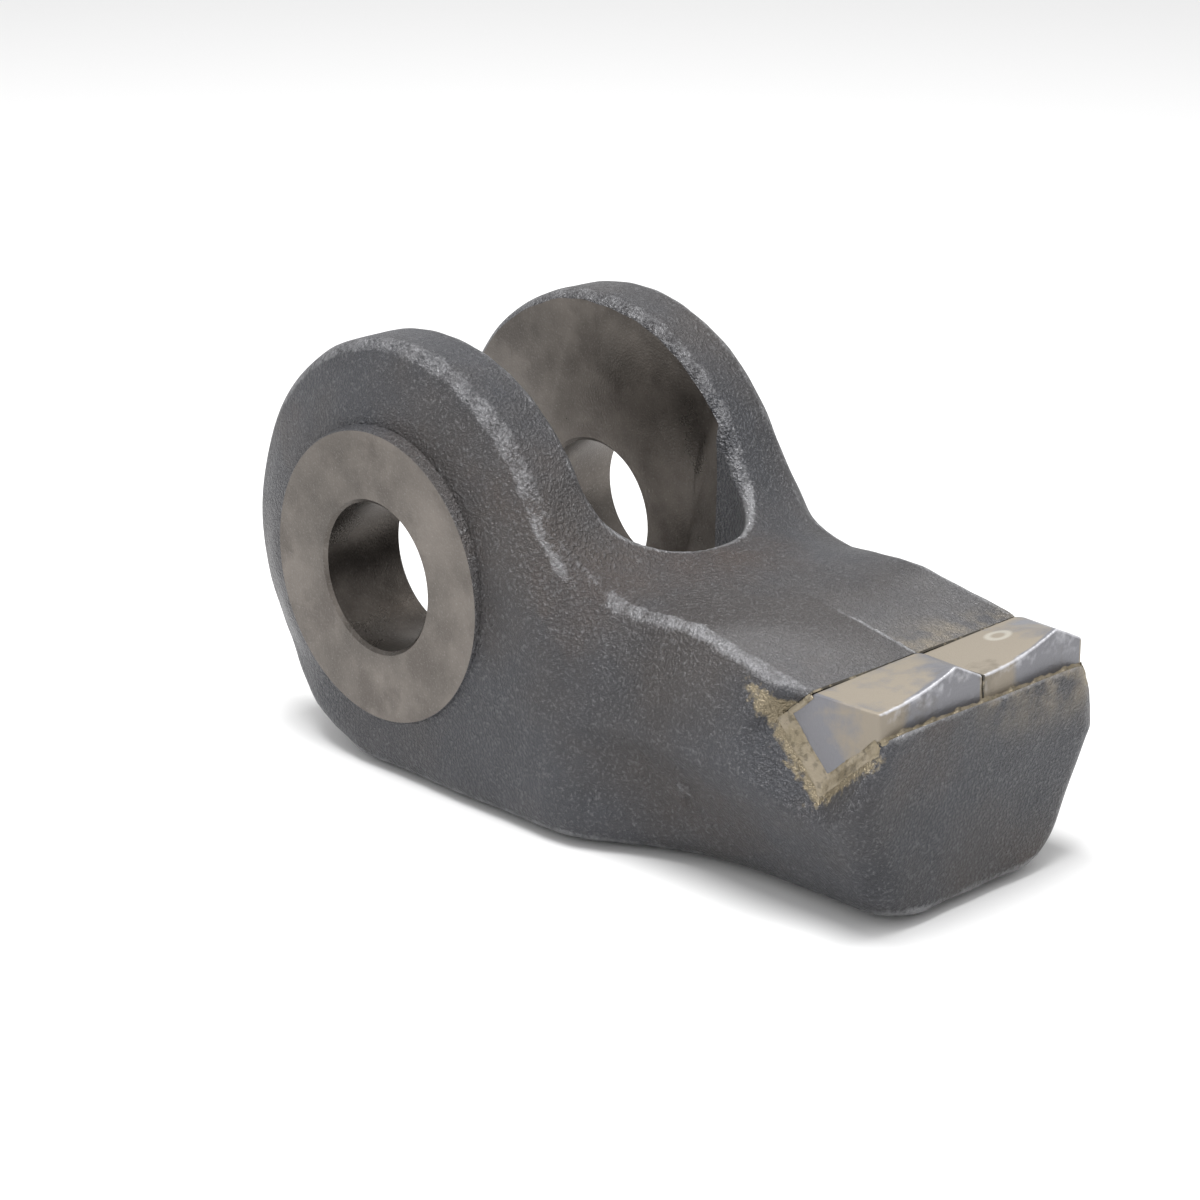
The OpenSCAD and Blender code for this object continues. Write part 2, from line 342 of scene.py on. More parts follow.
def soft_ramp(d, width):
    """Zero well below d = 0 and d well above it, with a bend of the given width between."""
    return (d + np.sqrt(d * d + width * width)) / 2


# ---------------------------------------------------------------- shape of the forging

# Height of the neck's middle and its crown, in thousandths, at places ahead of the bore, in millimetres.
NECK_LINE = np.array([
    (40, 13.2), (52, 12.1), (56, 11.5), (60, 10.6), (68, 9.2), (75, 8.1),
    (84, 6.8), (90, 6.0), (97, 5.1), (103, 4.2), (112, 2.6), (130, 0),
])
NECK_CROWN = np.array([
    (40, 2.8), (50, 3.6), (60, 4.1), (65, 3.8), (72, 1.7), (78, 0.2), (88, -1.6), (97, -1.0), (105, 0),
])
CROWN_SPREAD = 1000  # the square of the half width beyond which the crown stays level

EAR_DRAFT = (0.05, 0.03)  # how fast the ears narrow above and below the parting line
HEAD_DRAFT = (0.165, 0.46)  # the same of the head
EAR_RIDGE_Y = 33.8  # half width at which the ridge runs round the ears

RELIEF_AT, RELIEF_Z = 76, 7.9  # a place and the height of the relief there
RELIEF_FALL, RELIEF_TWIST = 0.183, 0.0325  # its fall forward and toward a tip's left end

UNDERSIDE_CLEAR = 0.15  # keeps the wavy underside above the floor
UNDERSIDE_RISE = 1.1  # from the ears to the striking face
GAP_ALLOWANCE = 0.5  # left on each ear's inner face for machining
DISH_START, DISH_SLOPE, DISH_LENGTH = 0.1, 0.7, 1.22  # the last is the length of a slope of 0.7 in 1

FLASH = 0.07  # height of the line that the dies left
DENTS = ((79.3, -23.0), (78.2, -26.7))  # X and Z of two small dents in the near side
DENT_SIZE = 1.8

FORGING_LOW, FORGING_HIGH = (-47.3, -43.2, -45.4), (129, 43.2, 51)  # corners of the grid

BOSS_ROOT = 30  # half width at which a boss starts, inside the ear
BORE_CHAMFER = 0.7
PAST = 60  # how far a cutter runs past the steel
SEAT_PAST = 50  # the same to each side, of the seat's cutter


def underside_z():
    """Height of the ears' lowest point."""
    clevis = sizes("clevis")
    return clevis.ear_rise - clevis.ear_r


def half_width(z, widest, draft, land=0):
    """Half width at a height: widest at the parting line, with a draft above, and one below the land."""
    parting_z = sizes("head").parting_z
    above = np.maximum(z + parting_z, 0)
    below = np.maximum(-parting_z - land - z, 0)
    return widest - draft[0] * above - draft[1] * below


def ear_half_width(z):
    """Half width of the ears at a height."""
    return half_width(z, sizes("clevis").ear_half, EAR_DRAFT)


def head_half_width(z):
    """Half width of the head at a height, with a land of 1 mm under the parting line."""
    return half_width(z, sizes("head").half_width, HEAD_DRAFT, land=1)


def flank(x, z):
    """Half width of the whole forging: the ears' width, then cheeks that close in on the head's width
    as exp(-0.98 run^1.54), later along the underside than above."""
    high = ease(-38, -10, z)
    start, length = 52.0 - 4.6 * high, 17.5 - 9 * high
    run = soft_ramp(x - start, 5.5) / length
    return between(head_half_width(z), ear_half_width(z), np.exp(-0.98 * run**1.54))


def crown_height(x, y):
    """Height of the neck: c(x) - k(x) y^2. The middle c falls gently forward. The crown k is full in the
    hollow before the ears and turns into a slight dish toward the tips."""
    middle = np.interp(x, NECK_LINE[:, 0], NECK_LINE[:, 1])
    crown = np.interp(x, NECK_CROWN[:, 0], NECK_CROWN[:, 1])
    return middle - crown * 0.001 * np.minimum(y * y, CROWN_SPREAD)


def relief_height(x, y):
    """Height of the relief behind the tips: one plane for each tip, falling forward and toward the tip's
    left end, which leaves a low step between the two."""
    from_left = np.where(y < 0, y + row_half(), y - sizes("tips").braze / 2)
    return RELIEF_Z - RELIEF_FALL * (x - RELIEF_AT) + RELIEF_TWIST * from_left


def top_height(x, y):
    """Height of the neck and head: the crown, cut down by the relief behind the tips."""
    crown = crown_height(x, y)
    low = -blunt(-crown, -relief_height(x, y), 0.25)
    return np.where(x > 62, low, crown)


def ridge_widths(x, z):
    """The two widths of the bevel outside the ridge: down the flank, and inward across the rim or top. On
    the ears the ridge keeps its half width, so the bevel follows their draft. It gets narrower along the
    neck and toward the tips, and stays narrow along the underside."""
    high, neck, tip = ease(-36, -22, z), ease(48, 60, x), ease(84, 104, x)
    down = between(between(12, 7, neck), 4.2, tip)
    ears = np.maximum(ear_half_width(z) - EAR_RIDGE_Y, 2.2)
    inward = between(between(ears, 2.8, neck), 3.0, tip)
    return between(3.0, down, high), between(2.6, inward, high)


def end_dish(x, side, z):
    """Field of the dish ground round the outer end of each tip: it rises outwards from the tip's end, away
    from the seat's outline."""
    u, v = seat_place(x, z)
    away = np.hypot(np.maximum(-u, 0), np.maximum(-v, 0)) + np.maximum(v - sizes("tips").back, 0)
    return (side - row_half() - DISH_START - DISH_SLOPE * away) / DISH_LENGTH


def side_view(x, y, z):
    """Field of the side view: the ears' disc and the neck joined with a hollow, down to the underside,
    which rises a little toward the head."""
    clevis = sizes("clevis")
    disc = np.hypot(x - clevis.ear_ahead, z - clevis.ear_rise) - clevis.ear_r
    neck = np.maximum(z - top_height(x, y), clevis.ear_ahead - x)
    underside = underside_z() + UNDERSIDE_CLEAR + UNDERSIDE_RISE * ease(10, 125, x)
    return np.maximum(union(disc, neck, clevis.saddle_r), underside - z)


def plan_view(x, y, z, outline):
    """Field of the sides: the flanks, the bevel between them and the side view's outline, and the raked
    striking face with its rounded upright corners."""
    head = sizes("head")
    face_x = head.reach - head.rake * (head.lip_z - z) / (head.lip_z - underside_z())
    down, inward = ridge_widths(x, z)
    wall = np.abs(y) - flank(x, z)
    bevel = (inward * outline + down * wall + down * inward) / np.hypot(inward, down)
    return overlap(blunt(wall, bevel, 2.2), x - face_x, head.corner_r)


def forged_gap(x, y):
    """Field of the gap as forged, positive inside: a slot with a round end, narrower than machined."""
    clevis = sizes("clevis")
    ahead = np.maximum(x - clevis.gap_reach, 0)
    return clevis.gap / 2 - GAP_ALLOWANCE - np.hypot(ahead, y)


def parting_depth(x):
    """Depth of the parting line below the bore, a little more at the head."""
    return sizes("head").parting_z + 1.5 * ease(60, 125, x)


def unevenness(x, y, z):
    """What is left of a smooth skin by the dies: two crossed sets of waves of 0.15 mm and 0.08 mm, less the
    flash along the parting line of the neck and head, and two small dents of 1 mm in the near side."""
    wave = np.sin(0.21 * x + 0.4) * np.sin(0.17 * y + 1.1) * np.sin(0.19 * z + 2.0)
    ripple = np.sin(0.53 * x - 0.31 * z) * np.sin(0.47 * y + 0.29 * x + 0.7)
    flash = FLASH * ease(56, 66, x) * np.exp(-(((z + parting_depth(x)) / 1.1) ** 2))
    dents = sum(np.exp(-((x - at_x) ** 2 + (z - at_z) ** 2) / DENT_SIZE) for at_x, at_z in DENTS)
    return 0.15 * wave + 0.08 * ripple - flash + dents * (y < 0)


def forging_field(x, y, z):
    """Distance to the forging's skin before machining, negative inside: the side view and the sides
    overlapped with a rounded ridge, less the dishes at the tips' ends and the gap, and then uneven."""
    outline = side_view(x, y, z)
    ridge_r = 2.6 - 1.0 * ease(50, 60, x) * ease(-30, -10, z)
    solid = overlap(outline, plan_view(x, y, z, outline), ridge_r)
    solid = blunt(solid, end_dish(x, np.abs(y), z), 1.2)
    gap_r = 3.6 - 1.8 * ease(42, 52, x)
    return overlap(solid, forged_gap(x, y), gap_r) + unevenness(x, y, z)


def seat_frame():
    """Corner of the tip seat and the two directions along its floor and up its back wall, in X and Z."""
    head, tips = sizes("head"), sizes("tips")
    tilt = math.radians(tips.tilt)
    along = np.array([math.cos(tilt), math.sin(tilt)])
    up = np.array([-math.sin(tilt), math.cos(tilt)])
    corner = np.array([head.reach, head.lip_z]) - (tips.seat + head.lip_len) * along
    return corner, along, up


def seat_points(pairs):
    """Places in X and Z of pairs given along the seat's floor and up its back wall."""
    corner, along, up = seat_frame()
    pairs = np.asarray(pairs, float)
    return corner + pairs[..., :1] * along + pairs[..., 1:] * up


def seat_place(x, z):
    """Places along the seat's floor and up its back wall of points in X and Z."""
    corner, along, up = seat_frame()
    u = (x - corner[0]) * along[0] + (z - corner[1]) * along[1]
    v = (x - corner[0]) * up[0] + (z - corner[1]) * up[1]
    return u, v


def add_bosses(piece):
    """Joins a turned boss to each ear, with a slight taper and a broken edge."""
    clevis = sizes("clevis")
    half, radius = clevis.width / 2, clevis.boss_d / 2
    profile = (
        (AXIS_R, BOSS_ROOT), (radius + 1.2, BOSS_ROOT), (radius + 0.5, half - 2.5),
        (radius, half - 0.3), (radius - 0.3, half), (AXIS_R, half),
    )
    for side in (-1, 1):
        combine(piece, turned("boss", [(r, side * y) for r, y in profile]), "UNION")


def cut_gap(piece):
    """Cuts the machined gap between the ears."""
    clevis = sizes("clevis")
    half = clevis.gap / 2
    combine(piece, box_piece("slot", (-PAST, -half, -PAST), (clevis.gap_reach, half, PAST)), "DIFFERENCE")


def cut_bore(piece):
    """Bores through both ears, with a chamfer at each of the four mouths."""
    clevis = sizes("clevis")
    half, gap, bore = clevis.width / 2, clevis.gap / 2, clevis.bore_d / 2
    mouth = bore + BORE_CHAMFER + 1
    profile = [(AXIS_R, -half - 1)]
    for y_low, y_high in ((-half, -gap), (gap, half)):
        profile += [(mouth, y_low - 1), (bore, y_low + BORE_CHAMFER)]
        profile += [(bore, y_high - BORE_CHAMFER), (mouth, y_high + 1)]
    profile.append((AXIS_R, half + 1))
    combine(piece, turned("bore", profile), "DIFFERENCE")


def cut_seat(piece):
    """Mills the slot that the tips stand in straight across the head, with room for the braze."""
    tips = sizes("tips")
    room, roof = -tips.braze, tips.back + tips.braze
    outline = seat_points([(room, room), (PAST, room), (PAST, roof), (room, roof)])
    ends = [np.insert(outline, 1, y, axis=1) for y in (-SEAT_PAST, SEAT_PAST)]
    combine(piece, carried("seat", np.stack(ends)), "DIFFERENCE")


# ---------------------------------------------------------------- marks on the forging


def bend(field, points, reach=1.2):
    """How sharply the field's surface bends outwards at points: the sum of its second differences."""
    total = -6 * field(*points.T)
    for axis in range(3):
        shift = np.zeros(3)
        shift[axis] = reach
        total = total + field(*(points + shift).T) + field(*(points - shift).T)
    return total / reach**2


def edge_mark(points):
    """Edges made lighter by wear and by a painted highlight along the ridges: where the skin bends sharply
    outwards, clear of the parting line and of the dishes at the tips' ends."""
    x, y, z = points.T
    sharp = np.clip(bend(forging_field, points) * 2.4 - 0.34, 0, 1)
    off_line = 1 - np.exp(-(((z + parting_depth(x)) / 2.6) ** 2)) * (x > 52)
    off_dish = ease(0.6, 2.4, np.abs(end_dish(x, np.abs(y), z)))
    return sharp * off_line * off_dish


def ground_mark(x, y, z):
    """The ground relief behind the tips: where it lies lower than the crown would."""
    relief = relief_height(x, y)
    lower = ease(-0.2, 1.0, crown_height(x, y) - relief) * (z > relief - 1)
    return lower * ease(70, 77, x) * ease(-30.5, -28.5, y) * (1 - ease(27, 29.5, y))


def splash_mark(x, y, z):
    """Braze that ran over the steel round the outer ends of the tips, fading away from the seat."""
    u, v = seat_place(x, z)
    away = np.hypot(np.maximum(-u - 0.5, 0), np.maximum(-v - 0.5, 0))
    past_end = ease(-2.5, 0.5, np.abs(y) - row_half())
    under_top = 1 - ease(-2, 3, z - relief_height(x, y) + 3)
    splash = np.exp(-((away / 4.0) ** 2)) * past_end * ease(-12, -4, u) * (1 - ease(15, 24, u))
    return np.clip(splash * under_top, 0, 1)


def overspray_mark(x, y, z):
    """Mist of flux: on the striking face below the lip, and on the top behind the right tip."""
    below_lip = np.maximum(seat_frame()[0][1] - z + 11, 0)
    lip = np.exp(-((below_lip / 7.0) ** 2)) * (x > 119) * ease(-12, 24, y)
    behind = np.maximum(106 - x, 0)
    rear = np.exp(-((behind / (3.5 + 3 * ease(28, 0, y))) ** 2)) * (z > -3) * ease(-1, 1.5, y)
    return np.clip(0.9 * lip + 0.8 * rear, 0, 1)


def machined_faces(mesh):
    """Which faces were machined: the bosses' faces, the gap's two faces and the bore."""
    clevis = sizes("clevis")
    middle, normal = np.empty(len(mesh.polygons) * 3), np.empty(len(mesh.polygons) * 3)
    mesh.polygons.foreach_get("center", middle)
    mesh.polygons.foreach_get("normal", normal)
    x, y, z = middle.reshape(-1, 3).T / MM
    flat = np.abs(normal.reshape(-1, 3)[:, 1]) > 0.999
    width = np.abs(y)
    inner = flat & (np.abs(width - clevis.gap / 2) < 0.02) & (x < clevis.gap_reach + 0.1)
    boss = flat & (width > clevis.width / 2 - 0.02)
    bore = np.hypot(x, z) < clevis.bore_d / 2 + BORE_CHAMFER + 0.1
    return inner | boss | bore


def mark_surface(piece):
    """Gives the forging its marks for the finishes, and its machined faces their own material. The
    materials are put on first, because clearing them would clear which face has which."""
    mesh = piece.data
    points = vertex_places(mesh)
    x, y, z = points.T
    write_marks(mesh, {
        "edge": edge_mark(points),
        "ground": ground_mark(x, y, z),
        "splash": splash_mark(x, y, z),
        "overspray": overspray_mark(x, y, z),
    })
    mesh.polygons.foreach_set("material_index", machined_faces(mesh).astype(np.int32))


class HAMMER_OT_forging(bpy.types.Operator):
    """Builds the forging: its skin, then the machined bosses, gap, bore and tip seat"""

    bl_idname = "hammer.forging"
    bl_label = "Forging"

    def execute(self, context):
        pitch = 0.9
        piece = skin("forging", forging_field, FORGING_LOW, FORGING_HIGH, pitch)
        add_bosses(piece)
        cut_gap(piece)
        cut_bore(piece)
        cut_seat(piece)
        shade(piece)
        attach(piece, "root")
        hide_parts("hammer_forging")
        piece.data.materials.clear()
        for finish in (forged_steel(), machined_steel()):
            piece.data.materials.append(finish)
        mark_surface(piece)
        return {"FINISHED"}


# ---------------------------------------------------------------- tips

TIP_ROUNDING = 0.55
RIDGE_BACK = (0.12, 0.92)  # how far the ridge has run back to the shoulder at the peak and at the far end


def edge_foot():
    """Place in X and Z of the cutting edge's two low ends, straight up from the front of the seat."""
    tips = sizes("tips")
    along = seat_frame()[1]
    return seat_points([(tips.seat + tips.front * along[1], tips.front * along[0])])[0]


def edge_rise(share):
    """Rise of the cutting edge above its low ends: a parabola up to the peak, then a straight fall."""
    tips = sizes("tips")
    climb = tips.peak * (share / tips.peak_at) ** 2
    return np.where(share < tips.peak_at, climb, tips.peak * (1 - share) / (1 - tips.peak_at))


def face_distance(u, v):
    """Distance ahead of the upright striking face of the tips."""
    along = seat_frame()[1]
    return (u - sizes("tips").seat) * along[0] - v * along[1]


def rounded_loop(corners, radius, steps=4):
    """A closed loop with its corners rounded. corners is [station, corner, 2]; each corner becomes a curve
    whose points are (1-t)^2 a + 2t(1-t) corner + t^2 b, where a and b lie on the two edges at the radius."""
    before = np.roll(corners, 1, 1) - corners
    after = np.roll(corners, -1, 1) - corners
    size_before = np.linalg.norm(before, axis=-1, keepdims=True)
    size_after = np.linalg.norm(after, axis=-1, keepdims=True)
    reach = np.minimum(radius, 0.45 * np.minimum(size_before, size_after))
    a = corners + before / size_before * reach
    b = corners + after / size_after * reach
    t = np.linspace(0, 1, steps + 1)[None, None, :, None]
    curve = (1 - t) ** 2 * a[:, :, None] + 2 * t * (1 - t) * corners[:, :, None] + t**2 * b[:, :, None]
    return curve.reshape(len(corners), -1, 2)


def tip_stations(width, steps=57, end_steps=5):
    """Places across one tip, and how far its outline shrinks at each: both ends round off along a quarter
    circle."""
    turn = np.linspace(0, np.pi / 2, end_steps)[:-1]
    lead, curl = TIP_ROUNDING * (1 - np.cos(turn)), np.sin(turn)
    inner = TIP_ROUNDING + (width - 2 * TIP_ROUNDING) * np.linspace(0, 1, steps)
    y = np.concatenate([lead, inner, width - lead[::-1]])
    return y, TIP_ROUNDING * (1 - np.concatenate([curl, np.ones(steps), curl[::-1]]))


def tip_sections(y_from):
    """Sections of one tip along Y. At each station the outline is the seat, the front, the cutting edge that
    rises to its peak, the ridge that runs back from the peak, and the rear shoulder. Toward both ends the
    outline shrinks along a quarter circle, which rounds the ends."""
    tips = sizes("tips")
    y, inset = tip_stations(tips.width)
    share = y / tips.width
    rise = edge_rise(share)

    def all_along(u, v):
        """One place on the seat, repeated at every station."""
        return np.broadcast_to(seat_points([(u, v)])[0], (len(y), 2))

    edge = edge_foot() + np.stack([0 * rise, rise], -1)
    shoulder = all_along(tips.shoulder, tips.back) + np.stack([0 * y, 0.7 * (share - 0.3)], -1)
    peak = edge_foot() + (0, tips.peak)
    past_peak = np.clip((share - tips.peak_at) / (1 - tips.peak_at), 0, 1)[:, None]
    start = np.where((share < tips.peak_at)[:, None], edge, peak)
    ridge = between(start, shoulder, between(*RIDGE_BACK, past_peak))
    floor_ends, wall_top = (all_along(0, 0), all_along(tips.seat, 0)), all_along(0, tips.back)
    corners = np.stack([*floor_ends, edge, ridge, shoulder, wall_top], 1)
    middle = corners.mean(1, keepdims=True)
    away = corners - middle
    length = np.linalg.norm(away, axis=-1, keepdims=True)
    corners = middle + away * (1 - 1.2 * inset[:, None, None] / length)
    loop = rounded_loop(corners, TIP_ROUNDING)
    across = np.broadcast_to((y_from + y)[:, None, None], loop[..., :1].shape)
    return np.concatenate([loop[..., :1], across, loop[..., 1:]], -1)


def mark_tip(piece, y_from):
    """Gives a tip its marks: a painted highlight along the cutting edge, and the film that the flux left,
    which is thin on the striking face past its near part and lies low on the two ends. The right tip has
    more of it."""
    tips = sizes("tips")
    x, y, z = vertex_places(piece.data).T
    u, v = seat_place(x, z)
    share = (y - y_from) / tips.width
    ahead = face_distance(u, v)
    crest = z - edge_foot()[1] - edge_rise(share)
    on_top = 0.62 - 0.25 * ease(0.5, 0.7, share) * ease(9, 14, u)
    on_face = 0.75 - 0.6 * ease(0.15, 0.4, share)
    on_ends = 0.15 + 0.7 * ease(3, 8, u) * (1 - ease(5.5, 9, v))
    film = np.where(ahead < -0.8, on_top, on_face)
    if y_from > 0:
        film = film + 0.22 * ease(0.9, 0.4, share)
    film = np.where(np.minimum(share, 1 - share) < 0.02, on_ends, film)
    # The edge mark places the painted highlight along the cutting edge.
    write_marks(piece.data, {"edge": np.exp(-((ahead / 0.5) ** 2) - (crest / 0.5) ** 2), "film": film})


class HAMMER_OT_tips(bpy.types.Operator):
    """Builds the two carbide tips"""

    bl_idname = "hammer.tips"
    bl_label = "Carbide tips"

    def execute(self, context):
        for name, y_from in (("left", -row_half()), ("right", sizes("tips").braze / 2)):
            piece = carried(name + "_tip", tip_sections(y_from))
            shade(piece, 50)
            mark_tip(piece, y_from)
            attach(piece, "root")
            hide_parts(name + "_carbide_tip")
            piece.data.materials.append(carbide())
        return {"FINISHED"}


# ---------------------------------------------------------------- braze

LAP = 0.12  # how far the braze reaches into the steel and the tips
END_LAP = 0.3  # how far the stretches of braze reach over the tips' outer ends
BRAZE_DEPTH = 0.9  # the most that it reaches into the steel or a tip
BRAZE_SPREAD = 2.2  # the most that it reaches away from a tip


def seat_steel(x, y, z):
    """Distance to the steel around the seat: the forging's skin less the slot that the tips stand in."""
    tips = sizes("tips")
    u, v = seat_place(x, z)
    slot = np.minimum.reduce([u + tips.braze, v + tips.braze, tips.back + tips.braze - v])
    return np.maximum(forging_field(x, y, z), slot)


def tip_row(x, y, z):
    """Distance to the row of tips: its seat, back, striking face, two ends, roof and sloping top."""
    tips = sizes("tips")
    u, v = seat_place(x, z)
    ends = np.abs(y) - row_half()
    sloping_top = (u - tips.shoulder) * 0.656 + (v - tips.back) * 0.756
    return np.maximum.reduce([-u, -v, face_distance(u, v), ends, v - tips.back, sloping_top])


def braze_field(x, y, z):
    """Distance to the braze: the steel and the row of tips joined with a hollow whose radius wanders along
    the joint and is larger at the outer ends, kept within a short depth of both, under the seat's roof and
    no more than a thin skin over the forging."""
    steel, row = seat_steel(x, y, z) + LAP, tip_row(x, y, z) + LAP
    wander = 0.5 * np.sin(0.83 * y + 0.6) + 0.35 * np.sin(1.7 * y - 0.5 * z)
    wander = wander + 0.25 * np.sin(2.9 * y + 1.1 * x)
    ends = ease(-0.4, 0.8, np.abs(y) - row_half())
    pool = union(steel, row, 1.6 + 0.4 * wander + 1.4 * ends)
    over_skin = forging_field(x, y, z) - 0.15
    over_roof = seat_place(x, z)[1] - sizes("tips").back - 0.3
    near = [-steel - BRAZE_DEPTH, -row - BRAZE_DEPTH, row - BRAZE_SPREAD]
    return np.maximum.reduce([pool, over_skin, over_roof, *near])


def in_front(x, y, z):
    """Negative ahead of the tips, between their outer ends."""
    ahead = sizes("tips").seat - 1.0 - seat_place(x, z)[0]
    return np.maximum(ahead, np.abs(y) - row_half() + END_LAP)


def past_left(x, y, z):
    """Negative past the left end of the row of tips."""
    return y + row_half() - END_LAP


def past_right(x, y, z):
    """Negative past the right end of the row of tips."""
    return row_half() - END_LAP - y


def run_out(name, low, high, inside, pitch):
    """One stretch of the braze that shows, cut from the whole joint by the given field."""
    return skin(name, lambda x, y, z: np.maximum(braze_field(x, y, z), inside(x, y, z)), low, high, pitch)


class HAMMER_OT_braze(bpy.types.Operator):
    """Builds the braze that shows in front of the tips and at both ends, and finishes the braze inside"""

    bl_idname = "hammer.braze"
    bl_label = "Braze"

    def execute(self, context):
        row = row_half()
        pitch = 0.4
        stretches = (
            ("front_braze", (114, -row - 1, -10), (134, row + 1, 14), in_front),
            ("left_end_braze", (92, -row - 8, -22), (134, -row + 2, 16), past_left),
            ("right_end_braze", (92, row - 2, -22), (134, row + 8, 16), past_right),
        )
        finish = braze_metal()
        for name, low, high, inside in stretches:
            piece = run_out(name, low, high, inside, pitch)
            shade(piece, 50)
            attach(piece, "root")
            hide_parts(name + "_fillet")
            piece.data.materials.append(finish)
        inside_finish = joint_flux()
        for name in ("left_braze_bed", "right_braze_bed", "centre_braze_joint"):
            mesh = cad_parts[name].data
            mesh.materials.clear()
            mesh.materials.append(inside_finish)
        return {"FINISHED"}


# ---------------------------------------------------------------- shader nodes


def new_material(name):
    """A material with one Principled shader, and its nodes and links."""
    material = bpy.data.materials.new(name)
    material.use_nodes = True
    tree = material.node_tree
    tree.nodes.clear()
    shader = tree.nodes.new("ShaderNodeBsdfPrincipled")
    output = tree.nodes.new("ShaderNodeOutputMaterial")
    tree.links.new(shader.outputs[0], output.inputs[0])
    return material, tree, shader


def feed(tree, socket, value):
    """Links a socket to another, or sets it to a number or a colour."""
    if isinstance(value, bpy.types.NodeSocket):
        tree.links.new(value, socket)
    elif isinstance(value, (int, float)):
        socket.default_value = value
    else:
        socket.default_value = (*value, 1.0)


def object_place(tree):
    """Object coordinates."""
    return tree.nodes.new("ShaderNodeTexCoord").outputs["Object"]


def noise(tree, waves, detail, rough):
    """A noise of Object coordinates, in waves per metre."""
    node = tree.nodes.new("ShaderNodeTexNoise")
    tree.links.new(object_place(tree), node.inputs["Vector"])
    for label, value in (("Scale", waves), ("Detail", detail), ("Roughness", rough)):
        feed(tree, node.inputs[label], value)
    return node.outputs["Fac"]


def remap(tree, value, a, b, to_a=0.0, to_b=1.0):
    """A value taken from one range to another, and held within it."""
    node = tree.nodes.new("ShaderNodeMapRange")
    labels = ("Value", "From Min", "From Max", "To Min", "To Max")
    for label, given in zip(labels, (value, a, b, to_a, to_b)):
        feed(tree, node.inputs[label], given)
    return node.outputs[0]


def maths(tree, operation, a, b=0.0):
    """One Math node of two values or sockets. A node of one value ignores the second."""
    node = tree.nodes.new("ShaderNodeMath")
    node.operation = operation
    feed(tree, node.inputs[0], a)
    feed(tree, node.inputs[1], b)
    return node.outputs[0]


def blend(tree, factor, a, b):
    """A colour between a and b."""
    node = tree.nodes.new("ShaderNodeMix")
    node.data_type = "RGBA"
    for number, value in ((0, factor), (6, a), (7, b)):
        feed(tree, node.inputs[number], value)
    return node.outputs[2]


def tint(tree, under, mask, amount, over):
    """One colour laid over another by an amount of a mask."""
    return blend(tree, maths(tree, "MULTIPLY", mask, amount), under, over)


def shaded(colour, times):
    """A colour made darker or lighter by a factor."""
    return tuple(times * c for c in colour)


def bump(tree, shader, height, distance):
    """Feeds a height through a Bump node into the shader's Normal; the distance is in metres."""
    node = tree.nodes.new("ShaderNodeBump")
    node.inputs["Distance"].default_value = distance
    tree.links.new(height, node.inputs["Height"])
    tree.links.new(node.outputs[0], shader.inputs["Normal"])


def mark(tree, name):
    """A mark of the mesh, as a value."""
    node = tree.nodes.new("ShaderNodeAttribute")
    node.attribute_name = name
    return node.outputs["Fac"]


def new_group(name, inputs, outputs):
    """A shader node group of values: inputs are names with their defaults, and outputs are names. A group
    that is already there comes back alone."""
    if name in bpy.data.node_groups:
        return bpy.data.node_groups[name], None, None
    group = bpy.data.node_groups.new(name, "ShaderNodeTree")
    for label, value in inputs.items():
        socket = group.interface.new_socket(label, in_out="INPUT", socket_type="NodeSocketFloat")
        socket.default_value = value
    for label in outputs:
        group.interface.new_socket(label, in_out="OUTPUT", socket_type="NodeSocketFloat")
    return group, group.nodes.new("NodeGroupInput"), group.nodes.new("NodeGroupOutput")


def use_group(tree, group, **values):
    """Places a group in a tree and sets or links its inputs, spelled with _ for a space."""
    node = tree.nodes.new("ShaderNodeGroup")
    node.node_tree = group
    for label, value in values.items():
        feed(tree, node.inputs[label.replace("_", " ")], value)
    return node


def grain_group():
    """Fine grain: a height for the bump and a mask of bright specks."""
    group, start, end = new_group("grain", {"Waves": 1500.0, "Speck Share": 0.5}, ("Height", "Specks"))
    if start:
        share = start.outputs["Speck Share"]
        fine = noise(group, start.outputs["Waves"], 2.5, 0.65)
        specks = remap(group, fine, share, maths(group, "ADD", share, 0.16))
        group.links.new(fine, end.inputs["Height"])
        group.links.new(specks, end.inputs["Specks"])
    return group


def wear_and_highlight_group():
    """Edge wear and painted edge highlight: the edge mark broken up by a noise."""
    group, start, end = new_group("edge_wear_and_highlight", {"Edge": 0.0, "Waves": 260.0, "Amount": 0.6}, ("Mask",))
    if start:
        edge = start.outputs["Edge"]
        ragged = maths(group, "MULTIPLY", noise(group, start.outputs["Waves"], 5.0, 0.5), 1.3)
        wear_and_sheen = remap(group, maths(group, "ADD", edge, ragged), 0.86, 1.5)
        wear_and_sheen = maths(group, "MULTIPLY", wear_and_sheen, remap(group, edge, 0.0, 0.3))
        group.links.new(maths(group, "MULTIPLY", wear_and_sheen, start.outputs["Amount"]), end.inputs["Mask"])
    return group


def patch_group():
    """Soft patches: a noise taken between two levels."""
    group, start, end = new_group("patches", {"Waves": 40.0, "From": 0.45, "To": 0.65}, ("Mask",))
    if start:
        cloud = noise(group, start.outputs["Waves"], 5.0, 0.6)
        level = remap(group, cloud, start.outputs["From"], start.outputs["To"])
        group.links.new(level, end.inputs["Mask"])
    return group


def patches(tree, waves, low, high):
    """Soft patches, in waves per metre, between two levels of their noise."""
    return use_group(tree, patch_group(), Waves=waves, From=low, To=high).outputs["Mask"]


def edge_wear_and_highlight(tree, waves, amount):
    """Wear and painted highlight along the edges that the mesh marks."""
    return use_group(tree, wear_and_highlight_group(), Edge=mark(tree, "edge"), Waves=waves, Amount=amount).outputs["Mask"]


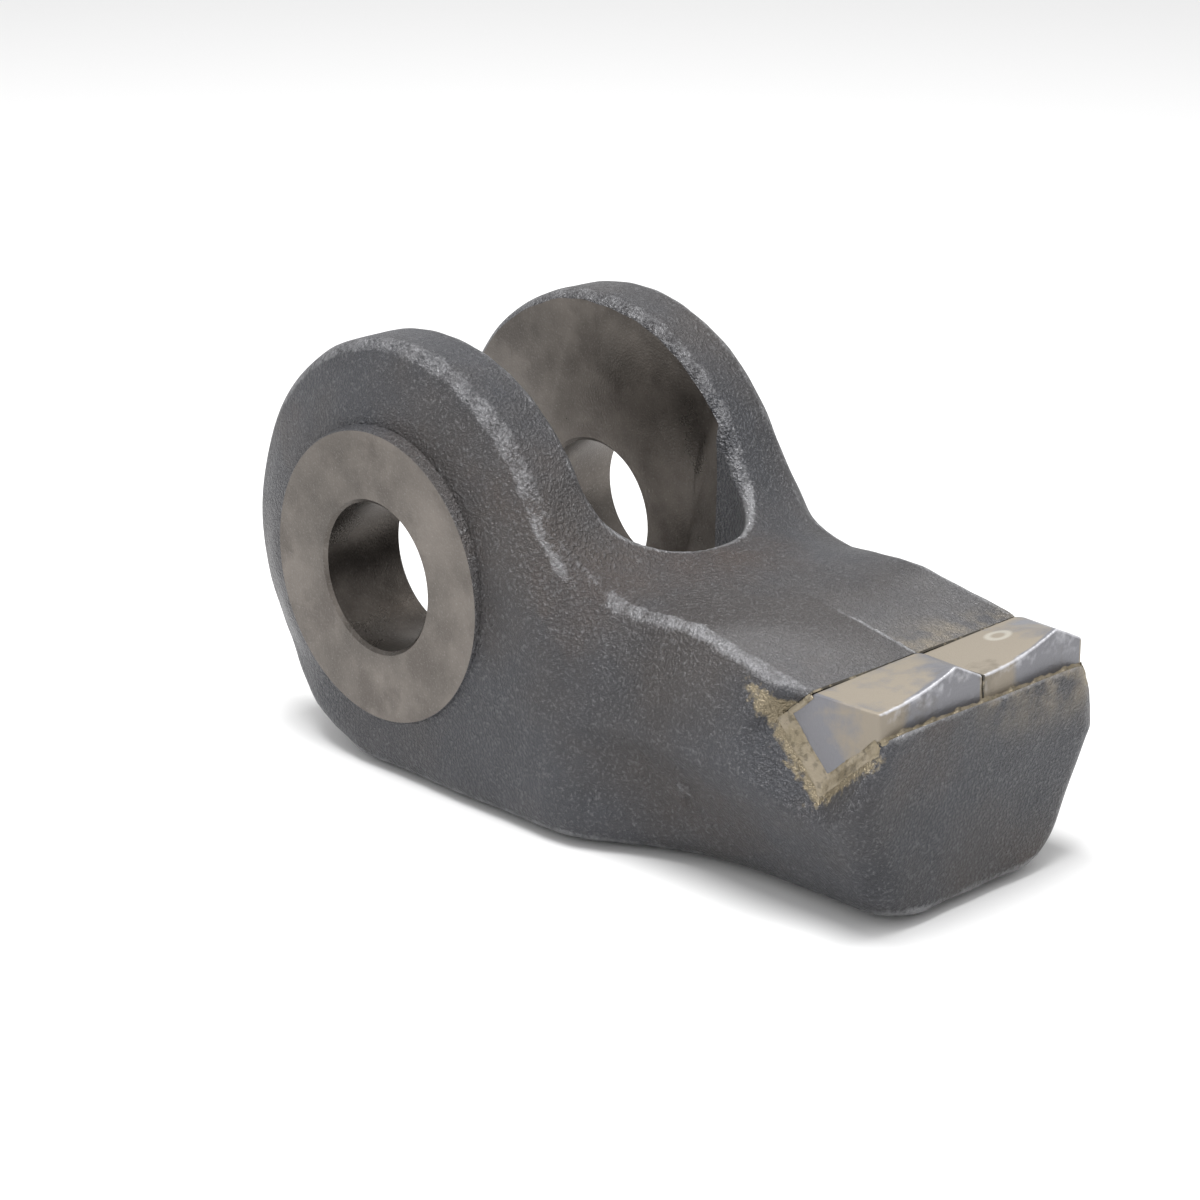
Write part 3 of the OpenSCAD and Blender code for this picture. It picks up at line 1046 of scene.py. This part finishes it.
def ring_mask(tree, middle, radius, width):
    """A mask of a ring round a place, all in millimetres."""
    distance = tree.nodes.new("ShaderNodeVectorMath")
    distance.operation = "DISTANCE"
    tree.links.new(object_place(tree), distance.inputs[0])
    distance.inputs[1].default_value = [c * MM for c in middle]
    off = maths(tree, "ABSOLUTE", maths(tree, "SUBTRACT", distance.outputs["Value"], radius * MM))
    return remap(tree, off, width * MM, 0.3 * width * MM)


# ---------------------------------------------------------------- finishes

RING_MIDDLE, RING_R, RING_WIDTH = (112.7, 16.4, 3.4), 2.0, 0.95  # the ring mark on the right tip


def forged_steel():
    """Forging scale: dark blue-grey with fine sparkle, lighter along its edges from wear and from a painted
    highlight, ground on the relief behind the tips, and stained by braze and flux around them."""
    colours = sizes("finish")
    material, tree, shader = new_material("forged_steel")
    grain = use_group(tree, grain_group(), Waves=1500.0, Speck_Share=0.53)
    cloud = patches(tree, 45.0, 0.3, 0.7)
    colour = blend(tree, cloud, shaded(colours.scale, 0.82), shaded(colours.scale, 1.2))
    colour = tint(tree, colour, patches(tree, 17.0, 0.42, 0.62), 0.6, colours.warm)
    colour = tint(tree, colour, patches(tree, 26.0, 0.56, 0.75), 0.45, colours.rust)
    colour = tint(tree, colour, grain.outputs["Specks"], 0.45, colours.sparkle)
    colour = tint(tree, colour, mark(tree, "ground"), 0.2, colours.rubbed_and_sheen)
    # Edges lighter from wear and from a painted highlight along the ridges.
    wear_and_sheen = edge_wear_and_highlight(tree, 1300.0, 0.75)
    colour = blend(tree, wear_and_sheen, colour, colours.rubbed_and_sheen)
    mist = maths(tree, "MULTIPLY", patches(tree, 160.0, 0.38, 0.6), mark(tree, "overspray"))
    colour = tint(tree, colour, mist, 0.75, colours.flux)
    splash = mark(tree, "splash")
    ragged = maths(tree, "MULTIPLY", patches(tree, 620.0, 0.0, 1.0), 1.4)
    gold = remap(tree, maths(tree, "ADD", splash, ragged), 1.2, 1.42)
    gold = maths(tree, "MULTIPLY", gold, remap(tree, splash, 0.05, 0.4))
    colour = blend(tree, gold, colour, colours.braze)
    metal = remap(tree, maths(tree, "MAXIMUM", wear_and_sheen, gold), 0, 1, 0.55, 0.85)
    tree.links.new(colour, shader.inputs["Base Color"])
    tree.links.new(metal, shader.inputs["Metallic"])
    tree.links.new(remap(tree, cloud, 0, 1, 0.33, 0.42), shader.inputs["Roughness"])
    bump(tree, shader, grain.outputs["Height"], 0.0009)
    return material


def machined_steel():
    """Machined faces of the bosses, the gap and the bore: clouded, with a light stain and fine specks."""
    colours = sizes("finish")
    material, tree, shader = new_material("machined_steel")
    grain = use_group(tree, grain_group(), Waves=1900.0, Speck_Share=0.55)
    cloud = patches(tree, 48.0, 0.34, 0.66)
    colour = blend(tree, cloud, shaded(colours.bare, 0.55), shaded(colours.bare, 1.15))
    colour = tint(tree, colour, patches(tree, 85.0, 0.5, 0.64), 0.7, colours.stain)
    colour = tint(tree, colour, grain.outputs["Specks"], 0.25, colours.bright)
    tree.links.new(colour, shader.inputs["Base Color"])
    shader.inputs["Metallic"].default_value = 0.85
    tree.links.new(remap(tree, cloud, 0, 1, 0.26, 0.36), shader.inputs["Roughness"])
    bump(tree, shader, grain.outputs["Height"], 0.00008)
    return material


def carbide():
    """Sintered carbide, grey-blue, with a tan flux film over much of it, a painted highlight along the
    cutting edge and the ring mark."""
    colours = sizes("finish")
    material, tree, shader = new_material("carbide")
    grain = use_group(tree, grain_group(), Waves=1700.0, Speck_Share=0.55)
    cloud = patches(tree, 150.0, 0.0, 1.0)
    film = remap(tree, maths(tree, "ADD", mark(tree, "film"), cloud), 0.86, 1.14)
    colour = tint(tree, colours.carbide, film, 0.8, colours.flux)
    colour = tint(tree, colour, patches(tree, 70.0, 0.6, 0.7), 0.5, colours.flux_dark)
    # Painted highlight along the crest of the cutting edge.
    colour = blend(tree, edge_wear_and_highlight(tree, 500.0, 1.0), colour, colours.crest_highlight)
    colour = tint(tree, colour, ring_mask(tree, RING_MIDDLE, RING_R, RING_WIDTH), 0.75, colours.ring)
    tree.links.new(colour, shader.inputs["Base Color"])
    shader.inputs["Metallic"].default_value = 0.3
    tree.links.new(remap(tree, film, 0, 1, 0.34, 0.55), shader.inputs["Roughness"])
    bump(tree, shader, grain.outputs["Height"], 0.00012)
    return material


def braze_metal():
    """Silver braze, gold to tan, with flux glass and char left on it."""
    colours = sizes("finish")
    material, tree, shader = new_material("braze")
    grain = use_group(tree, grain_group(), Waves=1400.0, Speck_Share=0.55)
    film = patches(tree, 260.0, 0.42, 0.6)
    colour = tint(tree, colours.braze, film, 0.6, colours.flux)
    colour = tint(tree, colour, patches(tree, 700.0, 0.52, 0.62), 0.6, colours.flux_dark)
    tree.links.new(colour, shader.inputs["Base Color"])
    tree.links.new(remap(tree, film, 0, 1, 0.75, 0.2), shader.inputs["Metallic"])
    shader.inputs["Roughness"].default_value = 0.38
    bump(tree, shader, grain.outputs["Height"], 0.00025)
    return material


def joint_flux():
    """Burnt flux in the narrow joints around the tips, with braze showing through."""
    colours = sizes("finish")
    material, tree, shader = new_material("joint_flux")
    grain = use_group(tree, grain_group(), Waves=1400.0)
    colour = blend(tree, patches(tree, 500.0, 0.55, 0.65), shaded(colours.flux_dark, 0.35), colours.braze)
    tree.links.new(colour, shader.inputs["Base Color"])
    shader.inputs["Roughness"].default_value = 0.5
    bump(tree, shader, grain.outputs["Height"], 0.0002)
    return material


# ---------------------------------------------------------------- stage

FLOOR_REACH = 3.0  # metres to each side
SKY_STRENGTH = 0.76
LAMP_SIZE = 0.5
LAMPS = (  # name, place in metres, turn in degrees, power in watts
    ("overhead", (0.05, -0.1, 0.8), (0, 0, 0), 9.0),
    ("front", (0.5, -0.9, 0.5), (60, 0, 30), 1.2),
)
CAMERA_PLACE, CAMERA_TURN = (0.5041, -0.4610, 0.2307), (70.24, 0, 46.24)
CAMERA_LENS, CAMERA_SENSOR, CAMERA_CLIP = 105.33, 36, (0.05, 20)


def degrees(turn):
    """A turn about X, Y and Z given in degrees, in radians."""
    return [math.radians(angle) for angle in turn]


def lay_floor(context):
    """A pale flat floor under the lowest point of the CAD box."""
    far, low = FLOOR_REACH, CAD_BOX[0][2]
    corners = [(-far, -far, low), (far, -far, low), (far, far, low), (-far, far, low)]
    mesh = bpy.data.meshes.new("floor")
    mesh.from_pydata(corners, [], [(0, 1, 2, 3)])
    floor = bpy.data.objects.new("floor", mesh)
    context.collection.objects.link(floor)
    material, _, shader = new_material("floor")
    shader.inputs["Base Color"].default_value = (*sizes("finish").floor, 1.0)
    shader.inputs["Roughness"].default_value = 0.9
    mesh.materials.append(material)


def light_studio(context):
    """An even white sky and two soft area lamps."""
    world = bpy.data.worlds.new("studio")
    world.use_nodes = True
    sky = world.node_tree.nodes["Background"]
    sky.inputs[0].default_value = (1, 1, 1, 1)
    sky.inputs[1].default_value = SKY_STRENGTH
    context.scene.world = world
    for name, place, turn, power in LAMPS:
        light = bpy.data.lights.new(name, "AREA")
        light.size = LAMP_SIZE
        light.energy = power
        lamp = bpy.data.objects.new(name, light)
        lamp.location = place
        lamp.rotation_euler = degrees(turn)
        context.collection.objects.link(lamp)


def set_camera(context):
    """A long lens, from the front left and above."""
    lens = bpy.data.cameras.new("camera")
    lens.lens = CAMERA_LENS
    lens.sensor_width = CAMERA_SENSOR
    lens.clip_start, lens.clip_end = CAMERA_CLIP
    camera = bpy.data.objects.new("camera", lens)
    camera.location = CAMERA_PLACE
    camera.rotation_euler = degrees(CAMERA_TURN)
    context.collection.objects.link(camera)
    context.scene.camera = camera
    context.scene.view_settings.view_transform = "Standard"


class HAMMER_OT_stage(bpy.types.Operator):
    """Lays the pale floor and sets the studio lights and the camera"""

    bl_idname = "hammer.stage"
    bl_label = "Stage"

    def execute(self, context):
        lay_floor(context)
        light_studio(context)
        set_camera(context)
        return {"FINISHED"}


# ---------------------------------------------------------------- panel and registration


class HAMMER_PT_panel(bpy.types.Panel):
    """Lists the steps in the order they are run"""

    bl_idname = "HAMMER_PT_panel"
    bl_label = "Swing Hammer"
    bl_space_type = "VIEW_3D"
    bl_region_type = "UI"
    bl_category = "Swing Hammer"

    def draw(self, context):
        for name in STEPS:
            self.layout.operator("hammer." + name)


STEPS = ("forging", "tips", "braze", "stage")
OPERATORS = (HAMMER_OT_forging, HAMMER_OT_tips, HAMMER_OT_braze, HAMMER_OT_stage)
CLASSES = (*GROUPS.values(), *OPERATORS, HAMMER_PT_panel)


def register():
    """Registers the classes and puts the groups of settings on the scene."""
    for cls in CLASSES:
        bpy.utils.register_class(cls)
    for name, group in GROUPS.items():
        setattr(bpy.types.Scene, "hammer_" + name, PointerProperty(type=group))


def unregister():
    """Takes away what register put in place."""
    for name in GROUPS:
        delattr(bpy.types.Scene, "hammer_" + name)
    for cls in reversed(CLASSES):
        bpy.utils.unregister_class(cls)


def main():
    """Builds the hammer and its stage."""
    register()
    for name in STEPS:
        getattr(bpy.ops.hammer, name)()


if __name__ == "__main__":
    main()
